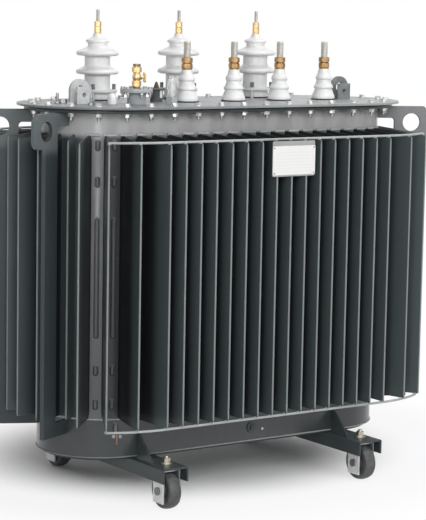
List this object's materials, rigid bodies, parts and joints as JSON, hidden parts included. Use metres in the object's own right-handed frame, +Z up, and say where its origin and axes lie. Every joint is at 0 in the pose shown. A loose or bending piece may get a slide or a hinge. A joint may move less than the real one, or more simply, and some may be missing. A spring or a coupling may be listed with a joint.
{
  "type": "oil-immersed distribution transformer",
  "caption": "Oval finned transformer tank on a wheeled channel undercarriage, with porcelain bushings, filler valve, oil gauge and lifting lugs.",
  "frame": {"origin": "on the ground under the middle of the tank", "axes": "+Z up, -Y towards the low-voltage front, +X to the right of someone facing the front"},
  "size_m": [1.335, 0.68, 1.314],
  "materials": {
    "tank_paint": "satin enamel",
    "gasket_rubber": "matte",
    "porcelain": "glossy glaze",
    "zinc_plate": "zinc plated",
    "brass": "turned",
    "grey_paint": "satin enamel",
    "clear_glass": "clear",
    "wheel_plastic": "moulded"
  },
  "bodies": {
    "transformer": {"axle_back_left": "zinc_plate", "axle_back_right": "zinc_plate", "axle_front_left": "zinc_plate", "axle_front_right": "zinc_plate", "back_fin_rods": "tank_paint", "back_fins": "tank_paint", "bottom_plate": "tank_paint", "bushing_gaskets": "gasket_rubber", "cover": "tank_paint", "cover_eyes": "zinc_plate", "cover_gasket": "gasket_rubber", "filler_neck": "grey_paint", "filler_valve": "brass", "front_fin_rods": "tank_paint", "front_fins": "tank_paint", "gauge_base": "grey_paint", "gauge_glass": "clear_glass", "hv_clamps": "zinc_plate", "hv_insulator_1": "porcelain", "hv_insulator_2": "porcelain", "hv_insulator_3": "porcelain", "hv_terminals": "brass", "left_beam": "tank_paint", "left_end_fins": "tank_paint", "lifting_lug_back_left": "tank_paint", "lifting_lug_back_right": "tank_paint", "lifting_lug_front_left": "tank_paint", "lifting_lug_front_right": "tank_paint", "lv_insulator_1": "porcelain", "lv_insulator_2": "porcelain", "lv_insulator_3": "porcelain", "lv_insulator_4": "porcelain", "lv_terminals": "brass", "right_beam": "tank_paint", "right_end_fins": "tank_paint", "tank_body": "tank_paint", "tap_changer": "grey_paint", "top_flange": "tank_paint", "wheel_fork_back_left": "zinc_plate", "wheel_fork_back_right": "zinc_plate", "wheel_fork_front_left": "zinc_plate", "wheel_fork_front_right": "zinc_plate"},
    "wheel_front_left": {"wheel_front_left": "wheel_plastic"},
    "wheel_front_right": {"wheel_front_right": "wheel_plastic"},
    "wheel_back_left": {"wheel_back_left": "wheel_plastic"},
    "wheel_back_right": {"wheel_back_right": "wheel_plastic"},
    "valve_handle": {"valve_handle": "brass"}
  },
  "joints": [
    {"name": "wheel_front_left_spin", "type": "hinge", "parent": "transformer", "child": "wheel_front_left", "pos_m": [-0.33, -0.286, 0.05], "axis": [1, 0, 0], "continuous": true},
    {"name": "wheel_front_right_spin", "type": "hinge", "parent": "transformer", "child": "wheel_front_right", "pos_m": [0.33, -0.286, 0.05], "axis": [1, 0, 0], "continuous": true},
    {"name": "wheel_back_left_spin", "type": "hinge", "parent": "transformer", "child": "wheel_back_left", "pos_m": [-0.33, 0.286, 0.05], "axis": [1, 0, 0], "continuous": true},
    {"name": "wheel_back_right_spin", "type": "hinge", "parent": "transformer", "child": "wheel_back_right", "pos_m": [0.33, 0.286, 0.05], "axis": [1, 0, 0], "continuous": true},
    {"name": "valve_turn", "type": "hinge", "parent": "transformer", "child": "valve_handle", "pos_m": [-0.291, -0.074, 1.136], "axis": [1, 0, 0], "range_deg": [0, 90]}
  ]
}
